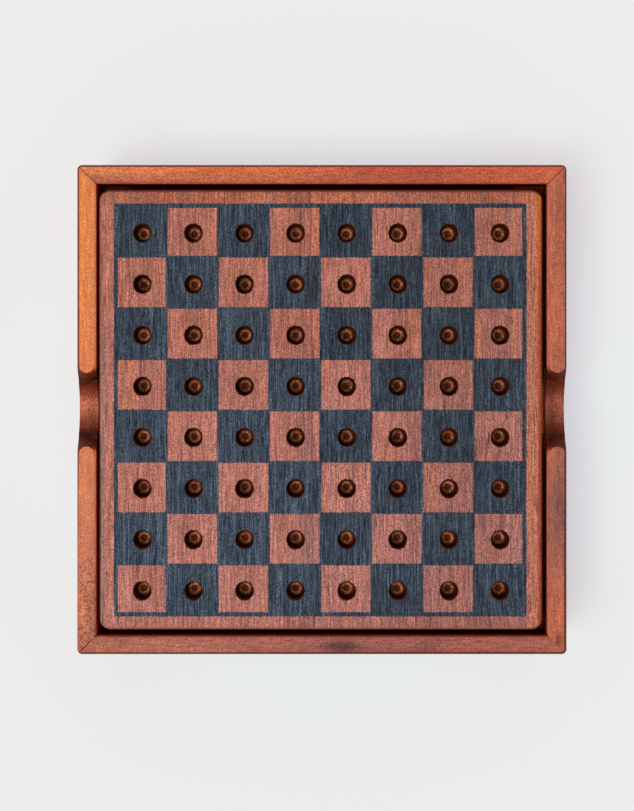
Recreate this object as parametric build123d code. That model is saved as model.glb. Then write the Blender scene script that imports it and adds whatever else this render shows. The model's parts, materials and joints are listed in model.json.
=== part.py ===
"""Square mitred chess box: a lift-out peg board above two drawers that open on opposite sides.

Millimetres, +Z up. The origin is the centre of the underside. The near wall faces -Y,
the far wall +Y, and the left and right walls carry the finger scoops for the board.
"""

import os
from math import radians, tan

from build123d import *

# Box, over its four mitred walls
box_width = 130.0
box_depth = 130.0
wall_thickness = 5.0
corner_radius = 1.3

# Bevel along both edges of the rim, which also runs round the tongue at each end of a finger scoop
edge_bevel = 0.5
edge_bevel_angle = 54.0

# Base panel, let into a rebate under the walls and flush with their lower edges
base_thickness = 3.5
base_rebate = 2.5

# Strips inside the walls, which carry the board and guide the drawers
liner_thickness = 8.0
ledge_width = 6.0
ledge_height = 4.2
divider_thickness = 3.0
divider_housing = 2.0

# Peg board, edge-glued from two planks
board_thickness = 8.5
board_recess = 1.2
board_corner_radius = 3.0
board_top_arris = 1.0
board_bottom_bevel = 0.4
plank_joint_x = -2.35

# Where the loose board lies in its recess
board_rest_x = -0.3

# Peg holes, one in the middle of each square, with the grid's middle counted from the board's
squares_per_side = 8
board_margin = 4.2
peg_hole_diameter = 4.8
peg_hole_depth = 6.4
hole_grid_x = 0.1
hole_grid_y = -0.65

# Finger scoop in the rim, and the same cut in each drawer front
scoop_width = 19.6
scoop_depth = 6.1
scoop_bottom_radius = 11.6
scoop_crease_depth = 3.6

# Drawers
drawer_height = 19.8
drawer_front_thickness = 5.0
drawer_front_lap = 2.0
drawer_front_arris = 0.4
drawer_side_thickness = 3.5
drawer_back_thickness = 3.5
drawer_back_inset = 2.0
drawer_back_drop = 1.0
drawer_back_housing = 1.2
drawer_bottom_thickness = 2.0
drawer_bottom_lip = 1.5
drawer_groove_depth = 1.5
felt_thickness = 0.8

# Clearances
glue_line = 0.05
drawer_side_gap = 0.3
drawer_under_gap = 0.2
drawer_over_gap = 0.4
drawer_stop_gap = 0.3
board_seat_gap = 0.2
board_gap_x = 1.0
board_gap_y = 1.4
felt_edge_gap = 0.4

# Plan sizes that follow
half_width = box_width / 2
half_depth = box_depth / 2
opening_half_width = half_width - wall_thickness
opening_half_depth = half_depth - wall_thickness
window_half_width = opening_half_width - liner_thickness
board_width = 2 * (opening_half_width - board_gap_x)
board_depth = 2 * (opening_half_depth - board_gap_y)
square_pitch = (min(board_width, board_depth) - 2 * board_margin) / squares_per_side

# Heights that follow, from the underside up to the rim
window_top = base_thickness + drawer_under_gap + drawer_height + drawer_over_gap
ledge_top = window_top + ledge_height
board_underside = ledge_top + board_seat_gap
board_top = board_underside + board_thickness
rim_height = board_top + board_recess

# Drawer outline that follows, for the near drawer
drawer_half_width = window_half_width - drawer_side_gap
drawer_inner_half_width = drawer_half_width - drawer_side_thickness
drawer_underside = base_thickness + drawer_under_gap
drawer_top = drawer_underside + drawer_height
drawer_face = -half_depth
drawer_inner_face = drawer_face + drawer_front_thickness
drawer_end = -divider_thickness / 2 - drawer_stop_gap
drawer_back_outer = drawer_end - drawer_back_inset
drawer_back_inner = drawer_back_outer - drawer_back_thickness
drawer_bottom_low = drawer_underside + drawer_bottom_lip
drawer_bottom_high = drawer_bottom_low + drawer_bottom_thickness

# Overrun of cutting solids past the surface that they leave by
overrun = 1.0


def block(x_span, y_span, z_span):
    """Rectangular solid between a low and a high value on each axis."""
    spans = (x_span, y_span, z_span)
    corner = [low for low, high in spans]
    size = [high - low for low, high in spans]
    return Pos(*corner) * Box(*size, align=(Align.MIN, Align.MIN, Align.MIN))


def mirrored(half):
    """Span from minus to plus a half size."""
    return (-half, half)


def scoop_cutter(thickness):
    """All that a scoop removes from a board of this thickness, lying along X, its edge at Z = 0.

    A hollow bottom lies between two noses. Each nose is half a cone, which starts as the round
    tip of a tongue in the board's edge and widens downwards at the angle of the edge bevels.
    """
    tongue_radius = thickness / 2 - edge_bevel
    spread = 1 / tan(radians(edge_bevel_angle))
    nose_x = scoop_width / 2 + tongue_radius
    across = mirrored(thickness / 2 + overrun)

    opening = block(mirrored(nose_x), across, (-scoop_crease_depth, overrun))
    below = block(mirrored(nose_x), across, (-scoop_depth - overrun, -scoop_crease_depth))
    roller = Rot(90, 0, 0) * Cylinder(scoop_bottom_radius, thickness + 2 * overrun)
    hollow = below & (Pos(0, 0, scoop_bottom_radius - scoop_depth) * roller)

    nose_height = scoop_depth + 2 * overrun
    nose_foot = tongue_radius + (scoop_depth + overrun) * spread
    nose = Pos(0, 0, overrun - nose_height / 2) * Cone(nose_foot, nose_foot - nose_height * spread, nose_height)
    cutter = opening + hollow
    for side in (-1, 1):
        cutter -= Pos(side * nose_x, 0, 0) * nose
    return cutter


def wall_ring():
    """The four walls as one ring, before the mitres part them."""
    outline = RectangleRounded(box_width, box_depth, corner_radius)
    inside = Rectangle(2 * opening_half_width, 2 * opening_half_depth)
    ring = extrude(outline - inside, rim_height)

    rim = ring.faces().sort_by(Axis.Z)[-1]
    bevel_height = edge_bevel * tan(radians(edge_bevel_angle))
    ring = chamfer(rim.edges(), edge_bevel, bevel_height, reference=rim)

    rebate_x = mirrored(opening_half_width + base_rebate)
    rebate_y = mirrored(opening_half_depth + base_rebate)
    ring -= block(rebate_x, rebate_y, (-overrun, base_thickness))
    ring -= block(mirrored(window_half_width), mirrored(box_depth), (base_thickness, window_top))

    for side in (-1, 1):
        scoop = Rot(0, 0, 90) * scoop_cutter(wall_thickness)
        ring -= Pos(side * (half_width - wall_thickness / 2), 0, rim_height) * scoop
    return ring


def mitre_wedge(half_length, half_across):
    """Solid that takes the wall facing -Y out of a ring, cut at 45 degrees at both ends."""
    outer = half_length + overrun
    inner = half_length - wall_thickness - overrun
    outer_y = -half_across - overrun
    inner_y = -half_across + wall_thickness + overrun
    plan = Polygon((-outer, outer_y), (outer, outer_y), (inner, inner_y), (-inner, inner_y), align=None)
    return Pos(0, 0, -overrun) * extrude(plan, rim_height + 2 * overrun)


def walls():
    """The mitred walls, each a board of its own."""
    ring = wall_ring()
    across = mitre_wedge(half_width, half_depth)
    along = mitre_wedge(half_depth, half_width)
    return {
        "wall_near": ring & across,
        "wall_far": ring & (Rot(0, 0, 180) * across),
        "wall_left": ring & (Rot(0, 0, -90) * along),
        "wall_right": ring & (Rot(0, 0, 90) * along),
    }


def base_panel():
    """Thin panel that closes the underside."""
    x_span = mirrored(opening_half_width + base_rebate - glue_line)
    y_span = mirrored(opening_half_depth + base_rebate - glue_line)
    return block(x_span, y_span, (0, base_thickness - glue_line))


def liner(side):
    """Strip on a side wall: the board rests on it, a drawer runs against it at each end."""
    y_span = mirrored(opening_half_depth - glue_line)
    z_span = (base_thickness, ledge_top)
    strip = block((window_half_width, opening_half_width - glue_line), y_span, z_span)
    housing_x = (window_half_width - overrun, window_half_width + divider_housing)
    housing_y = mirrored(divider_thickness / 2 + glue_line)
    strip -= block(housing_x, housing_y, (base_thickness - overrun, ledge_top + overrun))
    return mirror(strip, Plane.YZ) if side < 0 else strip


def ledge(side):
    """Strip over a drawer's mouth, under the edge of the board."""
    x_span = mirrored(window_half_width - glue_line)
    y_span = (opening_half_depth - ledge_width, opening_half_depth - glue_line)
    strip = block(x_span, y_span, (window_top, ledge_top))
    return mirror(strip, Plane.XZ) if side < 0 else strip


def centre_divider():
    """Board across the middle, housed in both liners, which both drawers stop against."""
    x_span = mirrored(window_half_width + divider_housing - glue_line)
    return block(x_span, mirrored(divider_thickness / 2), (base_thickness, ledge_top))


def peg_board():
    """The whole board, drilled, before the glue joint parts its planks."""
    outline = RectangleRounded(board_width, board_depth, board_corner_radius)
    board = Pos(board_rest_x, 0, board_underside) * extrude(outline, board_thickness)
    top = board.faces().sort_by(Axis.Z)[-1]
    board = fillet(top.edges(), board_top_arris)
    underside = board.faces().sort_by(Axis.Z)[0]
    board = chamfer(underside.edges(), board_bottom_bevel)
    on_floor = (Align.CENTER, Align.CENTER, Align.MIN)
    hole = Cylinder(peg_hole_diameter / 2, peg_hole_depth + overrun, align=on_floor)
    grid = GridLocations(square_pitch, square_pitch, squares_per_side, squares_per_side)
    floor = Pos(board_rest_x + hole_grid_x, hole_grid_y, board_top - peg_hole_depth)
    return board - [floor * place * hole for place in grid]


def planks():
    """The board's two planks, edge to edge."""
    board = peg_board()
    y_span = mirrored(board_depth)
    z_span = (0, rim_height)
    joint = board_rest_x + plank_joint_x
    left = block((-board_width, joint - glue_line / 2), y_span, z_span)
    right = block((joint + glue_line / 2, board_width), y_span, z_span)
    return {"board_plank_left": board & left, "board_plank_right": board & right}


def drawer_front():
    """Flush front, rebated at both ends for the sides, grooved for the bottom, with a scoop."""
    z_span = (drawer_underside, drawer_top)
    front = block(mirrored(drawer_half_width), (drawer_face, drawer_inner_face), z_span)
    face = front.faces().sort_by(Axis.Y)[0]
    front = fillet(face.edges(), drawer_front_arris)

    for side in (-1, 1):
        rebate_x = sorted((side * drawer_inner_half_width, side * (drawer_half_width + overrun)))
        rebate_y = (drawer_face + drawer_front_lap, drawer_inner_face + overrun)
        front -= block(rebate_x, rebate_y, (0, rim_height))

    groove_y = (drawer_inner_face - drawer_groove_depth, drawer_inner_face + overrun)
    front -= block(mirrored(drawer_half_width), groove_y, (drawer_bottom_low, drawer_bottom_high))
    middle = (drawer_face + drawer_inner_face) / 2
    return front - Pos(0, middle, drawer_top) * scoop_cutter(drawer_front_thickness)


def drawer_side(side):
    """Side board, grooved for the bottom and housed for the back."""
    x_span = (drawer_inner_half_width + glue_line, drawer_half_width)
    y_span = (drawer_face + drawer_front_lap + glue_line, drawer_end)
    board = block(x_span, y_span, (drawer_underside, drawer_top))
    groove_x = (0, drawer_inner_half_width + drawer_groove_depth)
    board -= block(groove_x, (drawer_face, drawer_back_outer), (drawer_bottom_low, drawer_bottom_high))
    housing_x = (0, drawer_inner_half_width + drawer_back_housing)
    housing_y = (drawer_back_inner - glue_line, drawer_back_outer + glue_line)
    board -= block(housing_x, housing_y, (drawer_bottom_low, rim_height))
    return mirror(board, Plane.YZ) if side < 0 else board


def drawer_back():
    """Back board, which stands on the bottom and is a little lower than the sides."""
    x_span = mirrored(drawer_inner_half_width + drawer_back_housing - glue_line)
    z_span = (drawer_bottom_high, drawer_top - drawer_back_drop)
    return block(x_span, (drawer_back_inner, drawer_back_outer), z_span)


def drawer_bottom():
    """Thin bottom, held in the grooves on three edges and under the back on the fourth."""
    x_span = mirrored(drawer_inner_half_width + drawer_groove_depth - glue_line)
    y_span = (drawer_inner_face - drawer_groove_depth + glue_line, drawer_back_outer)
    return block(x_span, y_span, (drawer_bottom_low + glue_line, drawer_bottom_high - glue_line))


def drawer_felt():
    """Felt laid on the drawer's bottom."""
    x_span = mirrored(drawer_inner_half_width - felt_edge_gap)
    y_span = (drawer_inner_face + felt_edge_gap, drawer_back_inner - felt_edge_gap)
    return block(x_span, y_span, (drawer_bottom_high, drawer_bottom_high + felt_thickness))


def drawer(name, turn):
    """All pieces of one drawer; the far drawer is the near one turned half round."""
    pieces = {
        "front": drawer_front(),
        "side_left": drawer_side(-1),
        "side_right": drawer_side(1),
        "back": drawer_back(),
        "bottom": drawer_bottom(),
        "felt": drawer_felt(),
    }
    return {f"{name}_drawer_{piece}": Rot(0, 0, turn) * solid for piece, solid in pieces.items()}


def all_pieces():
    """Every piece of the box by its name."""
    pieces = walls()
    pieces["base_panel"] = base_panel()
    pieces["liner_left"] = liner(-1)
    pieces["liner_right"] = liner(1)
    pieces["ledge_near"] = ledge(-1)
    pieces["ledge_far"] = ledge(1)
    pieces["centre_divider"] = centre_divider()
    pieces.update(planks())
    pieces.update(drawer("near", 0))
    pieces.update(drawer("far", 180))
    return pieces


os.makedirs("parts", exist_ok=True)
for node, piece in all_pieces().items():
    export_step(piece, f"parts/{node}.step")
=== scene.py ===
import json

import bpy
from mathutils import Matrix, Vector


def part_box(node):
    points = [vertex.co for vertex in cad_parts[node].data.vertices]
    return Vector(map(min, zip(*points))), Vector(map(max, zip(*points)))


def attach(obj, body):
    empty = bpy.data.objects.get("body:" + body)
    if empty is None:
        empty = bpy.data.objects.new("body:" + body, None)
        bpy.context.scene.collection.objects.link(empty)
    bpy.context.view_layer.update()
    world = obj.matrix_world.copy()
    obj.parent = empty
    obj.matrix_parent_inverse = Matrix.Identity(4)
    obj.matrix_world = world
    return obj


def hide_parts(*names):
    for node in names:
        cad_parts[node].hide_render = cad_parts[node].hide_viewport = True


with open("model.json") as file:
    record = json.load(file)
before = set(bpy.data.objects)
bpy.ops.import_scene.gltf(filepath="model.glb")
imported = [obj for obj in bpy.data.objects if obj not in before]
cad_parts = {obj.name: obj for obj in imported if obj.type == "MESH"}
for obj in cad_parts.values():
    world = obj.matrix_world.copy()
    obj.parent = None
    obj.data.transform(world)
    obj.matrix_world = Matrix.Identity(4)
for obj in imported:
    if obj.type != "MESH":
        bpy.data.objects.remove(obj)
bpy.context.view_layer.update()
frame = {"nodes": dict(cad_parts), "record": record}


# The four rails of the frame are mitred hardwood, glued at the corners, sanded and coated with thin
# orange-brown varnish. The left and right rails have a finger scoop, whose end grain drinks more
# stain. Lengths in every finish are millimetres, counted from the middle of the box's underside.

mm = 0.001  # one millimetre in the scene's metres
rail_low, rail_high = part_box("wall_left")
rail_outer = -rail_low.x / mm
rail_inner = rail_outer - (rail_high.x - rail_low.x) / mm
rim_height = rail_high.z / mm
rim_bevel = 0.5
scoop_half_width = 9.8
scoop_floor = rim_height - 6.1


def srgb(red, green, blue):
    """A colour as a paint shop gives it, 0 to 255, in the linear values that a finish mixes."""
    def linear(level):
        share = level / 255
        return share / 12.92 if share <= 0.04045 else ((share + 0.055) / 1.055) ** 2.4
    return (linear(red), linear(green), linear(blue), 1.0)


def feed(finish, node, feeds):
    """Gives each named socket of a node a value or another node's output."""
    for socket, value in feeds.items():
        if isinstance(value, bpy.types.NodeSocket):
            finish.node_tree.links.new(value, node.inputs[socket])
        else:
            node.inputs[socket].default_value = value


def step(finish, kind, feeds=None, out=0, **settings):
    """Adds one node to a finish and returns one of its outputs."""
    node = finish.node_tree.nodes.new("ShaderNode" + kind)
    for name, value in settings.items():
        setattr(node, name, value)
    feed(finish, node, feeds or {})
    return node.outputs[out]


def reckon(finish, operation, first, second=0.0, third=0.0):
    """Arithmetic on one number."""
    return step(finish, "Math", {0: first, 1: second, 2: third}, operation=operation)


def reckon_place(finish, operation, first, second=(0, 0, 0), out="Vector"):
    """Arithmetic on a place."""
    return step(finish, "VectorMath", {0: first, 1: second}, out, operation=operation)


def axes_of(finish, place):
    """The three numbers of a place."""
    return step(finish, "SeparateXYZ", {0: place}).node.outputs


def product(finish, *shares):
    """All the shares multiplied together."""
    result = shares[0]
    for share in shares[1:]:
        result = reckon(finish, "MULTIPLY", result, share)
    return result


def away_from(finish, value, middle):
    """How far a number lies from a middle, on either side."""
    return reckon(finish, "ABSOLUTE", reckon(finish, "SUBTRACT", value, middle))


def rest_of(finish, share):
    """What a share leaves of 1."""
    return reckon(finish, "SUBTRACT", 1.0, share)


def rise(finish, value, start, end, low=0.0, high=1.0):
    """Goes smoothly from low to high as value goes from start to end."""
    feeds = {"Value": value, "From Min": start, "From Max": end, "To Min": low, "To Max": high}
    return step(finish, "MapRange", feeds, interpolation_type="SMOOTHSTEP")


def uneven(finish, pattern, amount, start=0.3, end=0.7):
    """A tone that a pattern takes up to amount below and above 1."""
    return rise(finish, pattern, start, end, 1 - amount, 1 + amount)


def changed(finish, share, amount):
    """A tone of 1 where the share is 0, and lighter or darker by amount where it is 1."""
    return reckon(finish, "MULTIPLY_ADD", share, amount, 1.0)


def tint(finish, share, first, second):
    """Lays the second colour over the first, by share."""
    first_colour, second_colour, mixed_colour = 6, 7, 2  # sockets that a Mix node uses for colours
    feeds = {"Factor": share, first_colour: first, second_colour: second}
    return step(finish, "Mix", feeds, mixed_colour, data_type="RGBA", clamp_factor=True)


def toned(finish, colour, tone):
    """The colour, made darker or lighter by a tone of about 1."""
    return step(finish, "VectorMath", {0: colour, "Scale": tone}, operation="SCALE")


def speck(finish, place, per_mm, detail=3.0, roughness=0.55, distortion=0.0):
    """Cloudy variation from 0 to 1, with about per_mm patches in a millimetre."""
    feeds = {"Vector": place, "Scale": per_mm, "Detail": detail, "Roughness": roughness}
    return step(finish, "TexNoise", {**feeds, "Distortion": distortion})


def streak(finish, place, grain, stretch, seed, per_mm, *cloud):
    """Cloudy variation drawn out along the grain, so that it runs with the timber.

    Each seed reads another part of the same clouds. cloud gives speck its detail and the rest.
    """
    scale = [1.0, 1.0, 1.0]
    scale["xyz".index(grain)] = 1 / stretch
    seed_apart = (31.7, 17.3, 9.1)
    drawn = reckon_place(finish, "MULTIPLY", place, scale)
    moved = reckon_place(finish, "ADD", drawn, [seed * apart for apart in seed_apart])
    return speck(finish, moved, per_mm, *cloud)


def new_finish(name):
    """An empty finish, and each point's place on the box in millimetres."""
    finish = bpy.data.materials.new(name)
    finish.use_nodes = True
    return finish, toned(finish, step(finish, "TexCoord", out="Object"), 1 / mm)


def facing(finish, axis):
    """How far a surface faces along an axis, from -1 to 1."""
    return axes_of(finish, step(finish, "TexCoord", out="Normal"))[axis.upper()]


def end_on(finish, grain):
    """How squarely a surface cuts the grain: 0 on long grain, 1 on end grain."""
    return reckon(finish, "ABSOLUTE", facing(finish, grain))


def lay(finish, colour, roughness, specular, height=None, depth=0.0):
    """Ends a finish: its colour, its gloss and the relief that the light picks out."""
    shader = finish.node_tree.nodes["Principled BSDF"]
    look = {"Base Color": colour, "Roughness": roughness, "Specular IOR Level": specular}
    if height is not None:
        relief = {"Strength": 1.0, "Distance": depth * mm, "Height": height}
        look["Normal"] = step(finish, "Bump", relief)
    feed(finish, shader, look)
    return shader


def ramp_along(finish, part, stops):
    """A colour that changes along a piece, from (millimetre, linear colour) pairs."""
    start, end = stops[0][0], stops[-1][0]
    share = reckon(finish, "DIVIDE", reckon(finish, "SUBTRACT", part, start), end - start)
    ramp_colour = step(finish, "ValToRGB", {0: share})
    ramp = ramp_colour.node.color_ramp
    while len(ramp.elements) < len(stops):
        ramp.elements.new(0.5)
    for element, (position, colour) in zip(ramp.elements, stops):
        element.position = (position - start) / (end - start)
        element.color = colour
    return ramp_colour


def colours_along(finish, part, stops):
    """The colour along a piece, from (millimetre, 0 to 255 colour) pairs."""
    return ramp_along(finish, part, [(position, srgb(*colour)) for position, colour in stops])


def tones_along(finish, part, stops):
    """The tone along a piece, from (millimetre, tone) pairs. The ramp holds half of each tone."""
    halves = [(position, (tone / 2, tone / 2, tone / 2, 1)) for position, tone in stops]
    return reckon(finish, "MULTIPLY", ramp_along(finish, part, halves), 2.0)


def rail_timber(finish, place, upper, grain, seed, lively):
    """Broad figure, fine fibres and the unevenness of a hand-rubbed varnish, and their tone."""
    figure = streak(finish, place, grain, 22.0, seed, 0.5, 3.0, 0.6, 0.4)
    fibre = streak(finish, place, grain, 12.0, seed, 2.9, 2.0, 0.6)
    pores = streak(finish, place, grain, 5.0, seed + 1, 3.0, 1.0, 0.5)
    rubbed = speck(finish, place, 3.8, 1.0, 0.6)
    patchy = speck(finish, place, 0.14, 3.0, 0.6)
    sanded = product(
        finish, uneven(finish, fibre, 0.16 * lively), uneven(finish, rubbed, 0.28 * lively)
    )
    # the sanded rim shows its fibres more and its broad bands less than the faces below
    fibre_share = reckon(finish, "MULTIPLY_ADD", upper, 0.5, 0.5)
    band_share = reckon(finish, "MULTIPLY_ADD", upper, -0.09, 0.18)
    tone = product(
        finish,
        changed(finish, reckon(finish, "SUBTRACT", sanded, 1.0), fibre_share),
        changed(finish, rise(finish, figure, 0.3, 0.7, -1.0, 1.0), band_share),
        uneven(finish, patchy, 0.06),
        rise(finish, pores, 0.68, 0.76, 1.0, 0.7),
    )
    return figure, fibre, rubbed, tone


def knot_in_rim(finish, place, figure, middle, half_sizes, strength):
    """A darker knot just under the varnish."""
    offset = reckon_place(finish, "SUBTRACT", place, (*middle, rim_height))
    offset = reckon_place(finish, "MULTIPLY", offset, (1 / half_sizes[0], 1 / half_sizes[1], 0.3))
    from_knot = reckon_place(finish, "LENGTH", offset, out="Value")
    ring = reckon(finish, "MULTIPLY_ADD", figure, 0.5, from_knot)
    return rise(finish, ring, 1.35, 0.55, 0.0, strength)


def dark_arris(finish, along, reach, low_width, high_width):
    """The outer arris holds more varnish, more widely at one end of the rail than at the other."""
    width = rise(finish, along, -50.0, 20.0, low_width, high_width)
    from_edge = reckon(finish, "SUBTRACT", rail_outer, reach)
    return rise(finish, reckon(finish, "SUBTRACT", from_edge, width), 0.14, -0.14)


def pits_and_brows(finish, place, share):
    """Pits where the varnish shrank as it dried, and painted highlights on the brows."""
    pattern = speck(finish, place, 1.0, 1.0, 0.6, 1.2)
    fewest = rise(finish, share, 0.3, 1.0, 0.6, 0.36)
    where = rise(finish, speck(finish, place, 1.1, 1.0), fewest, 0.64)
    pits = rise(finish, away_from(finish, pattern, 0.49), 0.11, 0.05)
    lit_brows = rise(finish, away_from(finish, pattern, 0.68), 0.12, 0.06)
    return product(finish, pits, where, share), product(finish, lit_brows, where, share)


def mitre_glue(finish, place, x, y, from_mitre):
    """The mitre's broken glue line, tight at the near right corner and widest at the near left."""
    broken = rise(finish, speck(finish, place, 0.5, 2.0), 0.35, 0.6, 0.35, 1.0)
    tight = rise(finish, reckon(finish, "SUBTRACT", x, y), 100.0, 116.0, 1.0, 0.3)
    width = rise(finish, reckon(finish, "ADD", x, y), -100.0, -116.0, 0.26, 0.4)
    return product(finish, rise(finish, from_mitre, width, 0.1), broken, tight)


figure_colour = srgb(146, 74, 66)
knot_colour = srgb(84, 50, 50)
thick_varnish = srgb(100, 30, 6)
soaked_end_grain = srgb(90, 28, 10)
scoop_middle, scoop_sides = srgb(142, 68, 50), srgb(142, 44, 6)
pale_foot = srgb(206, 120, 90)
golden_varnish = srgb(180, 92, 34)


def varnished_rail(name, grain, seed, lively, tones, inner_tones, wall, worn=(0.5, 0.5), lip=1.0,
                   scoop=None, knot=None, pitted=None):
    """The finish of one rail.

    lively: how strongly the fibres and the rubbed varnish show
    tones, inner_tones: the rim's colour along the rail, and along its inner side
    wall: start of the inner face's painted light and shade up the bevel, its rim and foot colours
    worn: how wide the dark outer arris is, at the rail's left or near end and at the other
    lip: how much lighter the bevel is painted along the inner arris, as painted light
    scoop: the painted light and shade across the scoop, lighter or darker, from near to far
    knot: its middle, its half sizes and its strength
    pitted: where the varnish is still smooth, and where it is pitted all over
    """
    finish, place = new_finish(name)
    x, y, z = axes_of(finish, place)
    from_x, from_y = reckon(finish, "ABSOLUTE", x), reckon(finish, "ABSOLUTE", y)
    along = x if grain == "x" else y
    reach = reckon(finish, "MAXIMUM", from_x, from_y)
    near_rim = rise(finish, z, rim_height - 1.2, rim_height - 0.7)
    upper = rise(finish, z, rim_height - 4.0, rim_height - 1.0)
    figure, fibre, rubbed, tone = rail_timber(finish, place, upper, grain, seed, lively)

    # the outer face was coated in one pass, so its colour varies less than the rim's
    evened = srgb(*(sum(band) / len(tones) for band in zip(*(colour for _, colour in tones))))
    outer_face = rise(finish, z, rim_height - 1.5, rim_height - 9.0, 0.0, 0.6)
    colour = tint(finish, outer_face, colours_along(finish, along, tones), evened)
    inward = rise(finish, reach, rail_outer - 1.2, rail_inner + rim_bevel)
    inner_side = product(finish, inward, near_rim, 0.85)
    colour = tint(finish, inner_side, colour, colours_along(finish, along, inner_tones))
    colour = tint(finish, rise(finish, figure, 0.5, 0.72, 0.0, 0.22), colour, figure_colour)
    if knot:
        colour = tint(finish, knot_in_rim(finish, place, figure, *knot), colour, knot_colour)
    arris = product(finish, dark_arris(finish, along, reach, *worn), near_rim, 0.92)
    colour = tint(finish, arris, colour, thick_varnish)
    # the bevel along the inner arris is made lighter by lip, as painted light
    bevel_start = rail_inner + rim_bevel
    tone = product(finish, tone, rise(finish, reach, bevel_start + 0.1, bevel_start, 1.0, lip))

    # the inner face is painted another colour, more so deeper down, as painted light and shade
    shading_start, shading_at_rim, shading_at_foot = wall
    inside = rise(finish, reach, rail_inner + shading_start, rail_inner + 0.04)
    deep = rise(finish, z, rim_height - 1.0, rim_height - 5.5)
    wall_shading = tint(finish, deep, srgb(*shading_at_rim), srgb(*shading_at_foot))
    colour = tint(finish, inside, colour, wall_shading)

    # towards one end the varnish dried pitted; dust and painted shade darken the pits
    relief = rubbed
    if pitted:
        share = product(finish, rise(finish, along, *pitted), near_rim)
        pits, lit_brows = pits_and_brows(finish, place, share)
        tone = product(finish, tone, changed(finish, pits, -0.62), changed(finish, lit_brows, 0.3))
        relief = reckon(finish, "SUBTRACT", rubbed, pits)

    glue = mitre_glue(finish, place, x, y, away_from(finish, from_x, from_y))
    tone = product(finish, tone, changed(finish, product(finish, glue, near_rim), -0.86))

    # end grain drinks the stain, less so at the sanded corners below the rim
    corner = reckon(finish, "MINIMUM", from_x, from_y)
    corner = rise(finish, corner, rail_outer - 1.2, rail_outer - 0.7, 0.0, 0.6)
    corner = product(finish, corner, rise(finish, z, rim_height - 0.8, rim_height - 2.0))
    end_grain = rise(finish, end_on(finish, grain), 0.12, 0.62)
    end_grain = product(finish, end_grain, rest_of(finish, corner))
    if scoop:
        beside = rise(finish, from_y, scoop_half_width + 2.2, scoop_half_width)
        in_scoop = product(
            finish,
            rise(finish, z, rim_height - 0.3, rim_height - 1.2),
            beside,
            rise(finish, z, scoop_floor - 0.5, scoop_floor - 0.1),
        )
        # the scoop's creases darken with the end grain, as painted shade
        crease = product(finish, in_scoop, rise(finish, from_y, 6.0, 6.9))
        end_grain = reckon(finish, "MAXIMUM", end_grain, crease)
    colour = tint(finish, product(finish, end_grain, 0.85), colour, soaked_end_grain)
    tone = product(finish, tone, changed(finish, end_grain, -0.42))
    if scoop:
        # the cut ends of the grain show as dark grit, and painted light and shade lie over the
        # scoop:
        # lighter where its floor faces up, darker in its creases and towards the board
        cut = product(finish, in_scoop, rise(finish, end_on(finish, "x"), 0.95, 0.8))
        grit = product(
            finish,
            rise(finish, speck(finish, place, 3.0, 2.0, 0.7), 0.34, 0.66, 0.32, 1.4),
            tones_along(finish, y, scoop),
            rise(finish, reach, rail_inner - 0.2, rail_outer - 0.6, 0.82, 1.12),
        )
        grit = changed(finish, cut, reckon(finish, "SUBTRACT", grit, 1.0))
        tone = product(finish, tone, grit)
        sunk = tint(finish, rise(finish, from_y, 2.0, 6.0), scoop_middle, scoop_sides)
        colour = tint(finish, product(finish, cut, 0.6), colour, sunk)
        # under the scoop the wall's foot is paler
        foot = rise(finish, z, scoop_floor, scoop_floor - 0.4)
        colour = tint(finish, product(finish, inside, beside, foot, 0.8), colour, pale_foot)
        # varnish gathers golden where the inner arris runs out into the scoop
        pool = rise(finish, away_from(finish, from_y, scoop_half_width + 1.2), 1.7, 0.6)
        edge = rise(finish, away_from(finish, reach, rail_inner + 0.35), 0.8, 0.3)
        pool = product(finish, pool, edge, near_rim, 0.45)
        colour = tint(finish, pool, colour, golden_varnish)

    height = reckon(finish, "MULTIPLY_ADD", relief, 0.5, reckon(finish, "MULTIPLY", fibre, 0.6))
    gloss = rise(finish, fibre, 0.2, 0.8, 0.42, 0.58)
    lay(finish, toned(finish, colour, tone), gloss, 0.12, height, 0.03)
    return finish


def dress(nodes, finish):
    """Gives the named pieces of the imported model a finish."""
    for name in nodes:
        slots = frame["nodes"][name].data.materials
        slots.clear()
        slots.append(finish)
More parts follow.
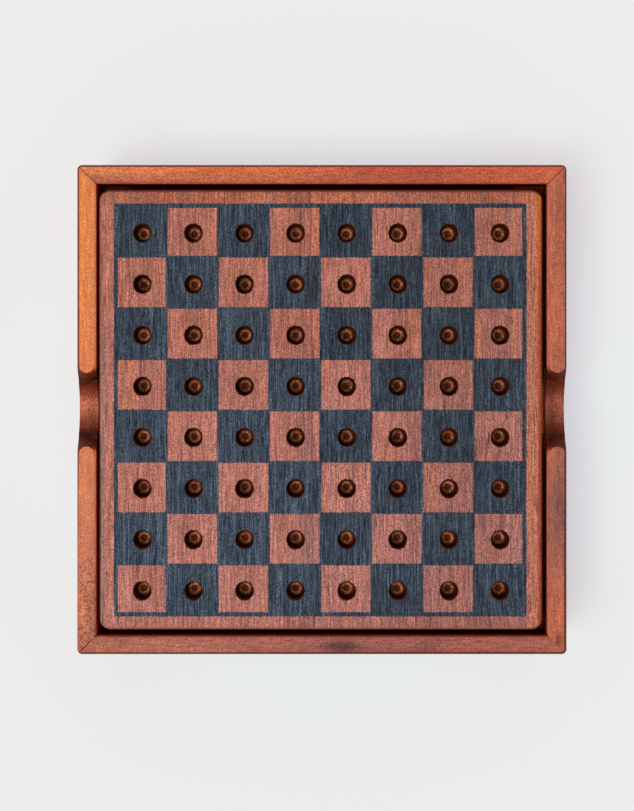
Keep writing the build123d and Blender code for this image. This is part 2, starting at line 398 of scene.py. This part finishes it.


# the drawers' fronts get the same painted inner-face shade as the near wall
near_wall_shading = (0.42, (116, 32, 12), (72, 16, 8))
rails = {
    "left": {
        "grain": "y", "seed": 1, "lively": 1.1,
        "tones": [
            (-63, (198, 116, 88)), (-54, (220, 130, 96)), (-42, (204, 119, 88)),
            (-24, (209, 123, 84)), (8, (214, 117, 70)), (24, (235, 134, 73)), (63, (222, 132, 65)),
        ],
        "inner_tones": [
            (-58, (166, 98, 78)), (-36, (186, 110, 80)), (-22, (202, 120, 82)),
            (6, (216, 126, 76)),
        ],
        "wall": (0.12, (178, 64, 28), (214, 50, 6)),
        "worn": (0.2, 0.56), "lip": 1.18, "pitted": (-20.0, -54.0),
        "scoop": [
            (-10, 0.9), (-9.2, 0.85), (-8.1, 0.55), (-6.9, 0.26), (-6.0, 0.45), (-4.9, 0.8),
            (-3.9, 0.64), (-2.8, 0.74), (-1.7, 0.96), (-0.6, 1.2), (0.6, 1.4), (1.8, 1.45),
            (3.6, 1.02), (5.7, 0.94), (6.8, 0.64), (7.8, 0.42), (9.0, 0.78), (10, 0.8),
        ],
    },
    "right": {
        "grain": "y", "seed": 3, "lively": 1.3,
        "tones": [
            (-62, (180, 98, 72)), (-52, (195, 104, 72)), (-40, (156, 90, 75)),
            (-28, (128, 78, 72)), (-13, (154, 90, 73)), (0, (164, 92, 70)), (20, (178, 97, 70)),
            (62, (169, 91, 68)),
        ],
        "inner_tones": [
            (-56, (188, 103, 75)), (-40, (160, 93, 76)), (-26, (144, 86, 74)),
            (-8, (180, 100, 76)),
        ],
        "wall": (0.08, (224, 124, 88), (90, 22, 8)),
        "worn": (0.78, 0.5), "lip": 1.2, "knot": ((62.8, -61.0), (1.1, 2.4), 0.6),
        "scoop": [
            (-10, 0.8), (-9.2, 0.76), (-8.1, 0.6), (-7.0, 0.34), (-6.0, 0.66), (-4.9, 0.65),
            (-3.9, 0.7), (-2.8, 0.72), (-0.7, 0.82), (1.4, 1.0), (3.6, 1.03), (5.7, 1.02),
            (7.4, 0.9), (8.7, 0.5), (9.6, 0.8), (10, 0.85),
        ],
    },
    "far": {
        "grain": "x", "seed": 2, "lively": 1.5,
        "tones": [
            (-62, (214, 126, 80)), (-42, (220, 120, 68)), (-28, (202, 104, 64)),
            (-15, (209, 108, 64)), (0, (198, 99, 64)), (14, (178, 82, 56)), (27, (178, 81, 55)),
            (40, (189, 88, 56)), (62, (196, 94, 60)),
        ],
        "inner_tones": [
            (-46, (168, 92, 72)), (-10, (176, 92, 68)), (28, (160, 78, 58)), (52, (186, 94, 66)),
        ],
        "wall": (0.1, (156, 24, 8), (48, 6, 3)),
        "worn": (0.55, 0.55), "lip": 1.07,
    },
    "near": {
        "grain": "x", "seed": 4, "lively": 1.5,
        "tones": [
            (-62, (175, 102, 76)), (-45, (181, 107, 84)), (-34, (163, 97, 80)),
            (-15, (163, 95, 78)), (-4, (150, 88, 78)), (14, (144, 84, 74)), (30, (141, 80, 71)),
            (42, (163, 91, 76)), (62, (160, 90, 74)),
        ],
        "inner_tones": [(-40, (168, 98, 80)), (20, (154, 88, 74)), (50, (166, 92, 76))],
        "wall": near_wall_shading,
        "worn": (0.6, 0.72), "knot": ((5.0, -62.8), (6.5, 2.2), 0.82),
    },
}
for side, rail in rails.items():
    dress([f"wall_{side}"], varnished_rail(f"varnish_{side}_rail", **rail))


# The lining is plain hardwood without varnish: the rails that guide the drawers, the ledges that
# carry the board, and the divider that is housed in those rails and parts the drawers. The guides
# have the same stain; the ledges and the divider are coloured near-black as painted shade of the
# deep gap.


def sanded_lining(name, grain, colour, seed, rubbed=None):
    """Sanded timber without a coat. rubbed is its paler colour beside a scoop."""
    finish, place = new_finish(name)
    figure = streak(finish, place, grain, 25.0, seed, 0.5, 4.0, 0.6, 0.3)
    fibre = streak(finish, place, grain, 12.0, seed, 2.4, 3.0, 0.6)
    pores = streak(finish, place, grain, 8.0, seed + 1, 3.0, 2.0)
    tone = product(
        finish,
        uneven(finish, figure, 0.18),
        uneven(finish, fibre, 0.18, 0.25, 0.75),
        rise(finish, pores, 0.64, 0.74, 1.0, 0.65),
        rise(finish, end_on(finish, grain), 0.5, 0.9, 1.0, 0.6),
    )
    red, green, blue = colour
    redder = srgb(red * 0.88, green * 0.78, blue * 0.78)
    shade = tint(finish, rise(finish, figure, 0.4, 0.7), srgb(*colour), redder)
    if rubbed:
        from_middle = reckon(finish, "ABSOLUTE", axes_of(finish, place)["Y"])
        beside = rise(finish, from_middle, scoop_half_width - 1.0, 5.0)
        shade = tint(finish, beside, shade, srgb(*rubbed))
    lay(finish, toned(finish, shade, tone), 0.72, 0.06, fibre, 0.04)
    return finish


guide_finish = sanded_lining("stained_long_grain", "y", (90, 32, 18), 5, rubbed=(214, 132, 102))
# the ledges and the divider are near-black, as painted shade of the deep gap beside the board
ledge_shade_finish = sanded_lining("shaded_cross_grain", "x", (34, 8, 4), 6)
dress(["liner_left", "liner_right"], guide_finish)
dress(["ledge_near", "ledge_far", "centre_divider"], ledge_shade_finish)


# The bottom of the box and of each drawer is a thin sawn panel, paler than the frame and left bare.
# The box's panel is glued in a rebate under the rails, and a drawer's slides into grooves.

panel_finish = sanded_lining("thin_panel_grain", "x", (196, 146, 104), 7)
dress(["base_panel", "near_drawer_bottom", "far_drawer_bottom"], panel_finish)


# Each of the two drawers has a hardwood front, varnished as the rails are, that is lapped over two
# plain sides. Its back is housed between the sides, and all of it is glued.

side_finish = sanded_lining("drawer_long_grain", "y", (184, 118, 82), 8)
back_finish = sanded_lining("drawer_cross_grain", "x", (180, 114, 80), 9)
drawer_fronts = {
    "near_drawer": (10, [(-50, (172, 99, 76)), (-8, (170, 98, 75)), (50, (160, 91, 72))]),
    "far_drawer": (12, [(-50, (204, 110, 68)), (-8, (194, 104, 66)), (50, (186, 98, 64))]),
}
for drawer, (seed, tones) in drawer_fronts.items():
    front = varnished_rail(f"varnish_{drawer}_front", "x", seed, 1.3, tones, tones, near_wall_shading)
    dress([f"{drawer}_front"], front)
    dress([f"{drawer}_side_left", f"{drawer}_side_right"], side_finish)
    dress([f"{drawer}_back"], back_finish)


# The lift-out board is two planks glued edge to edge, sanded smooth and left dull. Dark squares and
# border are one coat of blue-grey paint that sinks into the grain. Light squares are bare wood, and
# a peg hole is drilled in the middle of each square.

board_low, board_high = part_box("board_plank_left")[0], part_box("board_plank_right")[1]
board_left, board_right = board_low.x / mm, board_high.x / mm
board_far = board_high.y / mm
board_top = board_high.z / mm
glue_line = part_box("board_plank_left")[1].x / mm
mounts = {mount["name"]: mount["pos_m"] for mount in frame["record"]["mounts"]}
first_hole = [part / mm for part in mounts["peg_hole_near_left"]]
last_hole = [part / mm for part in mounts["peg_hole_far_right"]]
squares = 8
pitch = (last_hole[0] - first_hole[0]) / (squares - 1)
hole_radius = 2.4
hole_depth = 6.4
# the stencil lay a little off the board's middle: its own middle, the sides of its squares, and the
# left, right, near and far side of the border and of the bare squares within it
stencil_middle = (-0.45, -0.28)
square_sides = (13.62, 13.65)
border = (-55.38, 54.46, -55.08, 54.84)
bare_area = (-54.28, 53.28, -53.91, 53.63)
# the paint crept this far into a light square, and fades out over this much on either side
paint_creep = 0.25
paint_fade = 0.1


def plank_grain(finish, place, seed):
    """The patterns in a plank, whose fibres wander a little to either side of straight."""
    x, y, z = axes_of(finish, place)
    sway = reckon(finish, "MULTIPLY_ADD", speck(finish, place, 0.04, 2.0), 1.6, x)
    slant = reckon(finish, "MULTIPLY_ADD", y, 0.35, sway)
    swayed = step(finish, "CombineXYZ", {0: sway, 1: y, 2: z})
    slanted = step(finish, "CombineXYZ", {0: slant, 1: y, 2: z})
    bands = streak(finish, swayed, "y", 30.0, seed + 3, 1.1, 1.0, 0.5)
    groove = streak(finish, swayed, "y", 40.0, seed + 8, 1.0, 1.0, 0.5)
    groove = rise(finish, away_from(finish, groove, 0.5), 0.05, 0.02)
    lit_ridge = streak(finish, swayed, "y", 34.0, seed + 6, 1.1, 1.0, 0.5)
    lit_ridge = rise(finish, away_from(finish, lit_ridge, 0.5), 0.07, 0.025)
    return {
        "sway": sway,
        "figure": streak(finish, swayed, "y", 26.0, seed, 0.6, 3.0, 0.55),
        "bands": bands,
        "fibre": streak(finish, swayed, "y", 24.0, seed, 3.7, 1.0, 0.6),
        "ripple": streak(finish, slanted, "y", 2.4, seed + 4, 3.0, 0.0, 0.5),
        "pores": streak(finish, swayed, "y", 18.0, seed + 1, 3.2, 1.0, 0.5),
        "groove": product(finish, groove, rise(finish, bands, 0.42, 0.56)),
        "lit_ridge": product(finish, lit_ridge, rise(finish, bands, 0.66, 0.38)),
        "brushed": streak(finish, swayed, "y", 17.0, seed + 2, 3.7, 1.0, 0.6),
        "dust": speck(finish, place, 3.9, 1.0, 0.6),
    }


def beside_joint(finish, y, from_joint, wood):
    """The two planks differ most where they meet: dull on the left, orange on the right."""
    down = rise(finish, y, 45.0, -40.0)
    left = rise(finish, from_joint, -4.8, -2.6)
    left = product(finish, left, rise(finish, from_joint, 0.1, 0.0))
    left = product(finish, left, reckon(finish, "MULTIPLY_ADD", down, 0.45, 0.4))
    wood = tint(finish, left, wood, tint(finish, down, srgb(150, 92, 78), srgb(150, 102, 98)))
    right = rise(finish, from_joint, 0.0, 0.4)
    right = product(finish, right, rise(finish, from_joint, 2.2, 1.2), 0.75)
    return tint(finish, right, wood, tint(finish, down, srgb(194, 108, 84), srgb(168, 112, 104)))


def board_margins(finish, place, wood):
    """The wood outside the border, and its darkening near the edges, partly painted shade."""
    x, y, z = axes_of(finish, place)
    left, right, near, far = border
    right_margin = rise(finish, x, right - 0.86, right + 0.14)
    wood = tint(finish, product(finish, right_margin, 0.5), wood, srgb(190, 112, 80))
    far_margin = rise(finish, y, far - 0.44, far + 0.36)
    patches = rise(finish, speck(finish, place, 0.5, 2.0), 0.4, 0.6, 0.0, 0.65)
    wood = tint(finish, product(finish, far_margin, patches), wood, srgb(180, 96, 60))
    left_margin = rise(finish, x, left + 0.38, left - 0.22)
    wood = tint(finish, product(finish, left_margin, 0.4), wood, srgb(190, 118, 100))
    # a painted sheen along the board's left edge, which faces the lamp
    left_edge_sheen = rise(finish, x, left - 1.82, left - 2.82)
    left_edge_sheen = product(finish, left_edge_sheen, rise(finish, y, 50.0, 0.0, 0.1, 0.7))
    wood = tint(finish, left_edge_sheen, wood, srgb(154, 114, 106))
    # darker towards the near and far margins, and painted shade along the left and far lips
    near_margin = rise(finish, y, near + 0.48, near - 0.32)
    left_lip = product(
        finish,
        rise(finish, x, board_left + 0.55, board_left + 0.2),
        rise(finish, y, 30.0, -20.0),
        rise(finish, z, board_top - 1.4, board_top - 0.7),
    )
    far_lip = rise(finish, y, board_far - 1.4, board_far - 0.4)
    margin_darkening = product(
        finish,
        changed(finish, near_margin, -0.1),
        changed(finish, left_lip, -0.7),
        changed(finish, far_margin, -0.08),
        changed(finish, far_lip, -0.24),
    )
    return wood, margin_darkening


def inside_of(finish, x, y, bounds, shift):
    """1 within a rectangle with slightly ragged sides."""
    left, right, near, far = bounds
    from_x = away_from(finish, x, (left + right) / 2)
    from_y = away_from(finish, y, (near + far) / 2)
    room_x = reckon(finish, "SUBTRACT", (right - left) / 2, from_x)
    room_y = reckon(finish, "SUBTRACT", (far - near) / 2, from_y)
    room = reckon(finish, "ADD", reckon(finish, "MINIMUM", room_x, room_y), shift)
    return rise(finish, room, -paint_fade, paint_fade)


def stencilled(finish, x, y, shift):
    """The field inside the border, and the part of it that the paint covers."""
    rooms, counts = [], []
    for part, side, middle in zip((x, y), square_sides, stencil_middle):
        from_start = reckon(finish, "ADD", part, squares / 2 * side - middle)
        in_squares = reckon(finish, "DIVIDE", from_start, side)
        from_middle = away_from(finish, reckon(finish, "FRACT", in_squares), 0.5)
        rooms.append(reckon(finish, "MULTIPLY_ADD", from_middle, -side, side / 2))
        counts.append(reckon(finish, "FLOOR", in_squares))
    room = reckon(finish, "ADD", reckon(finish, "MINIMUM", *rooms), shift)
    in_square = rise(finish, room, paint_creep - paint_fade, paint_creep + paint_fade)
    light = rest_of(finish, reckon(finish, "PINGPONG", reckon(finish, "ADD", *counts), 1.0))
    spared = product(finish, in_square, light, inside_of(finish, x, y, bare_area, shift))
    field = inside_of(finish, x, y, border, shift)
    return field, product(finish, field, rest_of(finish, spared))


def paint_film(finish, grain, far_share, level):
    """The paint, so thin that the grain shows, with a painted highlight along its ridges."""
    film = rise(finish, grain["brushed"], 0.34, 0.66)
    film = tint(finish, film, srgb(35, 43, 55), srgb(68, 79, 93))
    film = tint(finish, product(finish, grain["lit_ridge"], 0.42), film, srgb(108, 121, 136))
    tone = product(
        finish,
        uneven(finish, grain["bands"], 0.08),
        uneven(finish, grain["ripple"], 0.18),
        uneven(finish, grain["dust"], 0.6),
        rise(finish, grain["pores"], 0.64, 0.72, 1.0, 0.5),
        changed(finish, grain["groove"], -0.35),
        rise(finish, far_share, 0.0, 1.0, 1.1 * level, 0.9 * level),
    )
    return toned(finish, film, tone)


def rounded_edges(finish, place, colour, tone, seed):
    """Dark end grain, painted lighter near and darker far as painted light and shade; an
    orange-brown right side that is partly painted shade; and painted shade on the rounded edges.
    """
    x, y, z = axes_of(finish, place)
    outward = facing(finish, "y")
    end_grain = rise(finish, end_on(finish, "y"), 0.12, 0.7)
    end_grain_light_and_shade = rise(finish, outward, -0.1, 0.1)
    end_grain_light_and_shade = tint(finish, end_grain_light_and_shade, srgb(172, 88, 68), srgb(98, 30, 14))
    below_edge = rise(finish, z, board_top - 1.6, board_top - 3.0)
    end_grain_light_and_shade = tint(finish, below_edge, end_grain_light_and_shade, srgb(146, 78, 56))
    rays = streak(finish, place, "z", 7.0, seed + 7, 1.4, 2.0, 0.6)
    open_ends = speck(finish, place, 2.2, 2.0, 0.6)
    open_ends = rise(finish, open_ends, 0.35, 0.7, 1.12, 0.7)
    end_grain_light_and_shade = toned(finish, end_grain_light_and_shade, product(finish, uneven(finish, rays, 0.2), open_ends))
    colour = tint(finish, product(finish, end_grain, 0.8), colour, end_grain_light_and_shade)
    right_side = rise(finish, x, board_right - 1.7, board_right - 0.7)
    right_side = product(finish, right_side, rise(finish, end_grain, 0.5, 0.0))
    right_side_colour_and_shade = rise(finish, y, 20.0, 56.0)
    right_side_colour_and_shade = tint(finish, right_side_colour_and_shade, srgb(160, 70, 36), srgb(194, 102, 32))
    right_side_colour_and_shade = tint(finish, rise(finish, y, -10.0, -50.0), right_side_colour_and_shade, srgb(156, 76, 50))
    right_side_colour_and_shade = toned(finish, right_side_colour_and_shade, reckon(finish, "MULTIPLY_ADD", tone, 0.8, 0.2))
    colour = tint(finish, right_side, colour, right_side_colour_and_shade)
    # painted shade on the rounded edges, less along the left and none where they face the near side
    rounded_edge_shade = product(
        finish,
        rise(finish, facing(finish, "z"), 0.985, 0.6),
        rise(finish, x, board_left + 1.5, board_left + 3.0, 0.2, 1.0),
        rise(finish, outward, -0.5, -0.1),
        0.45,
    )
    return tint(finish, rounded_edge_shade, colour, srgb(96, 42, 24))


def from_hole(finish, part, first):
    """Distance along one axis from the nearest row of peg holes."""
    return reckon(finish, "PINGPONG", reckon(finish, "SUBTRACT", part, first), pitch / 2)


def hole_reach(finish, x, y):
    """Distance from the middle of the nearest peg hole."""
    from_x, from_y = from_hole(finish, x, first_hole[0]), from_hole(finish, y, first_hole[1])
    square_of_x = reckon(finish, "MULTIPLY", from_x, from_x)
    return reckon(finish, "SQRT", reckon(finish, "MULTIPLY_ADD", from_y, from_y, square_of_x))


def drilled(finish, place, seed):
    """The walls of the peg holes, and dark rims where fibres tore out along the grain, widened at
    each hole's near and far ends as painted shade.
    """
    x, y, z = axes_of(finish, place)
    reach = hole_reach(finish, x, y)
    torn = streak(finish, place, "y", 5.0, seed + 5, 2.2, 1.0, 0.7)
    torn = reckon(finish, "MULTIPLY_ADD", torn, -0.8, 0.24)
    at_ends = rise(finish, from_hole(finish, y, first_hole[1]), 0.6, hole_radius, 0.3, 1.0)
    rim = reckon(finish, "ADD", reach, product(finish, torn, at_ends))
    rim = rise(finish, rim, hole_radius + 0.14, hole_radius)
    down_the_hole = rise(finish, z, board_top - 0.05, board_top - 0.3)
    return product(
        finish,
        reckon(finish, "MAXIMUM", rim, down_the_hole),
        rise(finish, reach, hole_radius + 0.5, hole_radius + 0.3),
        inside_of(finish, x, y, border, 0.0),
    )


def painted_board(name, seed, wood_far, wood_near, orange_share, paint_level, growth):
    """The finish of one plank.

    wood_far, wood_near: the bare wood's colour at the far and at the near end
    orange_share: how strong its orange streaks are
    paint_level: how light the paint dried on it
    growth: the paler and darker growth across the plank, which runs its whole length
    """
    finish, place = new_finish(name)
    x, y, z = axes_of(finish, place)
    grain = plank_grain(finish, place, seed)
    far_share = rise(finish, y, -50.0, 50.0)
    # the joint between the planks leans a little
    from_joint = reckon(finish, "SUBTRACT", x, glue_line)
    from_joint = reckon(finish, "MULTIPLY_ADD", y, 0.0094, from_joint)

    wood = tint(finish, far_share, srgb(*wood_near), srgb(*wood_far))
    mauve = rise(finish, grain["figure"], 0.50, 0.66, 0.0, 0.5)
    wood = tint(finish, mauve, wood, srgb(150, 92, 90))
    orange = product(finish, rise(finish, grain["figure"], 0.46, 0.34), orange_share)
    wood = tint(finish, orange, wood, srgb(190, 110, 82))
    wood, margin_darkening = board_margins(finish, place, wood)
    wood = beside_joint(finish, y, from_joint, wood)
    tone = product(
        finish,
        tones_along(finish, grain["sway"], growth),
        uneven(finish, grain["bands"], 0.06),
        rise(finish, grain["fibre"], 0.3, 0.7, 0.74, 1.34),
        changed(finish, grain["groove"], -0.32),
        uneven(finish, grain["ripple"], 0.12),
        uneven(finish, grain["dust"], 0.44),
        rise(finish, grain["pores"], 0.66, 0.73, 1.0, 0.42),
        margin_darkening,
    )

    # the paint's edges are ragged, because it ran into the grain
    ragged = streak(finish, place, "y", 1.6, seed, 1.5, 2.0, 0.7)
    shift = reckon(finish, "MULTIPLY_ADD", ragged, 0.44, -0.22)
    field, painted = stencilled(finish, x, y, shift)
    on_top = product(
        finish,
        rise(finish, facing(finish, "z"), 0.9, 0.98),
        rise(finish, z, board_top - 0.2, board_top - 0.05),
    )
    painted = product(finish, painted, on_top)
    film = paint_film(finish, grain, far_share, paint_level)
    colour = tint(finish, painted, toned(finish, wood, tone), film)
    colour = rounded_edges(finish, place, colour, tone, seed)

    # the glue line wavers, and shows less in the painted field
    waver = reckon(finish, "MULTIPLY_ADD", speck(finish, place, 0.12, 2.0), 0.5, -0.25)
    line = reckon(finish, "ABSOLUTE", reckon(finish, "ADD", from_joint, waver))
    strength = reckon(finish, "MULTIPLY_ADD", field, -0.3, 0.62)
    line = product(finish, rise(finish, line, 0.38, 0.12), on_top, strength)
    colour = tint(finish, line, colour, srgb(84, 62, 66))

    # bare drilled wood in the peg holes, painted dark on the walls and rims as painted shade, and
    # darker where the rim is torn out of a painted square
    hole_wood_and_shade = rise(finish, z, board_top, board_top - 1.8)
    hole_wood_and_shade = tint(finish, hole_wood_and_shade, srgb(68, 21, 5), srgb(98, 40, 16))
    hole_wood_and_shade = tint(finish, product(finish, painted, 0.8), hole_wood_and_shade, srgb(40, 30, 32))
    hole_wood_and_shade = toned(finish, hole_wood_and_shade, uneven(finish, grain["dust"], 0.25, 0.25, 0.75))
    colour = tint(finish, drilled(finish, place, seed), colour, hole_wood_and_shade)

    height = reckon(finish, "MULTIPLY_ADD", grain["fibre"], 0.5, grain["brushed"])
    lay(finish, colour, 0.65, 0.1, height, 0.05)
    return finish


planks = {
    "left": {
        "seed": 11, "wood_far": (171, 106, 89), "wood_near": (181, 117, 103),
        "orange_share": 0.5, "paint_level": 1.0,
        "growth": [
            (-56, 0.96), (-53, 1.05), (-46, 0.95), (-39, 1.06), (-33, 0.93), (-27, 1.13),
            (-21, 0.9), (-14, 1.1), (-8, 0.93), (-3, 0.96),
        ],
    },
    "right": {
        "seed": 13, "wood_far": (166, 104, 89), "wood_near": (166, 109, 100),
        "orange_share": 0.6, "paint_level": 0.8,
        "growth": [
            (-2, 1.02), (6, 1.19), (9, 1.06), (13, 1.16), (19, 1.08), (24, 0.98), (29, 0.91),
            (33, 0.96), (35, 0.86), (38, 0.95), (42, 0.89), (48, 0.93), (52, 1.02),
        ],
    },
}
for side, plank in planks.items():
    dress([f"board_plank_{side}"], painted_board(f"painted_{side}_plank", **plank))


# Each of the sixty-four peg holes is blind and ends in the mark of its drill, cut in the bare wood
# of the planks: a sloping shoulder, a flat land and the pit of the drill's point.

hole_floor = board_top - hole_depth
floor_gap = 0.03
mark_sides = 24
smooth_under = 0.6
# each ring's radius, and its height over the hole's floor
drill_rings = [(2.36, 1.7), (1.68, 0.95), (0.92, 0.62), (0.4, 0.36)]


def in_metres(*lengths):
    """A place or a move in metres, from millimetres."""
    return [length * mm for length in lengths]


bpy.ops.object.select_all(action="DESELECT")
rim_radius, rim_level = drill_rings[0]
bpy.ops.mesh.primitive_circle_add(
    vertices=mark_sides, radius=rim_radius * mm, fill_type="NGON",
    location=in_metres(first_hole[0], first_hole[1], hole_floor + floor_gap),
)
drill_mark = bpy.context.object
drill_mark.name = "board_drill_marks"
bpy.ops.object.transform_apply()
bpy.ops.object.mode_set(mode="EDIT")
bpy.ops.mesh.select_all(action="SELECT")
to_rim = in_metres(0, 0, rim_level - floor_gap)
bpy.ops.mesh.extrude_region_move(TRANSFORM_OT_translate={"value": to_rim})
for (radius, level), (next_radius, next_level) in zip(drill_rings, drill_rings[1:]):
    bpy.ops.mesh.inset(thickness=(radius - next_radius) * mm, depth=0)
    bpy.ops.transform.translate(value=in_metres(0, 0, next_level - level))
bpy.ops.mesh.select_all(action="SELECT")
bpy.ops.mesh.normals_make_consistent(inside=False)
bpy.ops.object.mode_set(mode="OBJECT")

marks = [drill_mark]
for column in range(squares):
    for row in range(squares):
        if column or row:
            copy = drill_mark.copy()
            copy.data = drill_mark.data.copy()
            copy.location = in_metres(column * pitch, row * pitch, 0)
            bpy.context.collection.objects.link(copy)
            marks.append(copy)
for mark in marks:
    mark.select_set(True)
bpy.context.view_layer.objects.active = drill_mark
bpy.ops.object.join()
bpy.ops.object.transform_apply()
bpy.ops.object.shade_smooth_by_angle(angle=smooth_under)


def drilled_wood():
    """Freshly cut wood: a shoulder painted darker towards the wall as painted shade, a pale land
    flecked with painted glints, and a brown pit.
    """
    finish, place = new_finish("drilled_wood")
    x, y, _ = axes_of(finish, place)
    grit = speck(finish, place, 2.2, 2.0, 0.7)
    reach = hole_reach(finish, x, y)
    colour = tint(finish, rise(finish, reach, 1.6, 2.3), srgb(110, 44, 14), srgb(66, 21, 8))
    land = product(finish, rise(finish, reach, 0.8, 1.05), rise(finish, reach, 1.75, 1.35))
    colour = tint(finish, land, colour, srgb(184, 106, 64))
    glints = rise(finish, speck(finish, place, 1.3, 1.0, 0.6), 0.48, 0.6, 0.0, 0.7)
    colour = tint(finish, product(finish, land, glints), colour, srgb(228, 176, 136))
    each_hole = uneven(finish, speck(finish, place, 0.05, 2.0), 0.22)
    tone = product(finish, rise(finish, grit, 0.35, 0.65, 0.42, 1.15), each_hole)
    lay(finish, toned(finish, colour, tone), 0.6, 0.1, grit, 0.05)
    return finish


drill_mark.data.materials.append(drilled_wood())
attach(drill_mark, "board")


# Each drawer is lined with one piece of green wool felt, which keeps the chessmen from rattling. It
# is cut a little smaller than the drawer's bottom and laid on it loose, so it isn't quite flat.

felt_level = 0.62
felt_thickness = 0.55
# how much the felt's lie varies in height, and about how wide each wave of it is
felt_lie = 0.25
lie_patch = 18
felt_grid = (60, 34)


def felt_finish():
    """Matted wool, with a short nap that catches the light at a low angle."""
    finish, place = new_finish("green_felt")
    nap = speck(finish, place, 2.6, 4.0, 0.75)
    cloud = speck(finish, place, 0.12, 3.0, 0.6)
    colour = tint(finish, rise(finish, nap, 0.3, 0.7), srgb(26, 66, 44), srgb(52, 102, 70))
    colour = tint(finish, rise(finish, cloud, 0.3, 0.8, 0.0, 0.35), colour, srgb(36, 80, 58))
    shader = lay(finish, colour, 0.95, 0.1, nap, 0.18)
    sheen = {"Sheen Weight": 0.35, "Sheen Roughness": 0.5, "Sheen Tint": srgb(140, 190, 150)}
    feed(finish, shader, sheen)
    return finish


felt = felt_finish()
for drawer in ("near_drawer", "far_drawer"):
    low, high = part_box(f"{drawer}_felt")
    width, length = high.x - low.x, high.y - low.y
    bpy.ops.object.select_all(action="DESELECT")
    bpy.ops.mesh.primitive_grid_add(
        x_subdivisions=felt_grid[0], y_subdivisions=felt_grid[1], size=1,
        location=((low.x + high.x) / 2, (low.y + high.y) / 2, low.z + felt_level * mm),
    )
    piece = bpy.context.object
    piece.name = f"{drawer}_felt_lining"
    piece.scale = (width, length, 1)
    bpy.ops.object.transform_apply()
    clouds = bpy.data.textures.new(f"{drawer}_felt_lie", "CLOUDS")
    clouds.noise_scale = lie_patch * mm
    for kind, settings in (
        ("DISPLACE", {"texture": clouds, "strength": felt_lie * mm, "mid_level": 0.5}),
        ("SOLIDIFY", {"thickness": felt_thickness * mm, "offset": -1.0}),
    ):
        modifier = piece.modifiers.new(kind.lower(), kind)
        for setting, value in settings.items():
            setattr(modifier, setting, value)
        bpy.ops.object.modifier_apply(modifier=modifier.name)
    bpy.ops.object.shade_smooth_by_angle(angle=0.9)
    piece.data.materials.append(felt)
    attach(piece, drawer)
    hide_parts(f"{drawer}_felt")


# The box stands on a plain pale table top and is seen from straight above. Soft window light comes
# from the lower left, and the whole room fills in the shadows.

paper = srgb(235, 235, 235)
bpy.ops.object.select_all(action="DESELECT")
bpy.ops.mesh.primitive_plane_add(size=6.0, location=(0, 0, 0))
table_top = bpy.context.object
table_top.name = "table_top"

table, table_place = new_finish("pale_paper")
table_x, table_y, _ = axes_of(table, table_place)
from_box = reckon(table, "MULTIPLY", table_y, table_y)
from_box = reckon(table, "SQRT", reckon(table, "MULTIPLY_ADD", table_x, table_x, from_box))
seen = step(table, "LightPath", out="Is Camera Ray")
shade = tint(table, seen, paper, srgb(230, 255, 237))
tooth = rise(table, speck(table, table_place, 0.02, 2.0), 0.3, 0.7, 0.0, 0.3)
shade = tint(table, tooth, shade, toned(table, shade, 0.98))
paper_shader = lay(table, shade, 0.9, 0.0)
# the camera sees part of the table top as a glow of its own, which warms away from the box
glow_share = 0.55
further = rise(table, from_box, 75.0, 106.0, 0.0, 0.52)
glow_colour = tint(table, further, srgb(241, 233, 248), srgb(243, 214, 228))
glow = step(table, "Emission", {"Color": glow_colour, "Strength": 1.0})
glowing = reckon(table, "MULTIPLY", seen, glow_share)
blend = step(table, "MixShader", {0: glowing, 1: paper_shader.outputs[0], 2: glow})
feed(table, table.node_tree.nodes["Material Output"], {"Surface": blend})
table_top.data.materials.append(table)

fill_level = 0.55
world = bpy.data.worlds.new("studio")
bpy.context.scene.world = world
world.use_nodes = True
room = world.node_tree.nodes["Background"]
feed(world, room, {"Color": (fill_level, fill_level, fill_level, 1)})
backdrop = step(world, "Background", {"Color": paper})
rays = step(world, "LightPath").node.outputs
clear = reckon(world, "MAXIMUM", rays["Is Camera Ray"], rays["Is Glossy Ray"])
clear = reckon(world, "MAXIMUM", clear, rays["Is Transmission Ray"])
either = step(world, "MixShader", {0: clear, 1: room.outputs[0], 2: backdrop})
feed(world, world.node_tree.nodes["World Output"], {"Surface": either})

window_level = 1.5
window_width = 0.42
window_tilt = (0.17, -0.28, 0)
lamp = bpy.data.lights.new("window_light", "SUN")
lamp.energy = window_level
lamp.angle = window_width
lamp_object = bpy.data.objects.new("window_light", lamp)
lamp_object.rotation_euler = window_tilt
bpy.context.collection.objects.link(lamp_object)

camera_place = (-2.8, 19.6, 554)
camera_data = bpy.data.cameras.new("camera")
camera_data.lens = 86.28
camera_data.shift_x = 0.0069
camera_data.shift_y = -0.0859
camera = bpy.data.objects.new("camera", camera_data)
camera.location = in_metres(*camera_place)
bpy.context.collection.objects.link(camera)
bpy.context.scene.camera = camera
bpy.context.scene.view_settings.view_transform = "Standard"
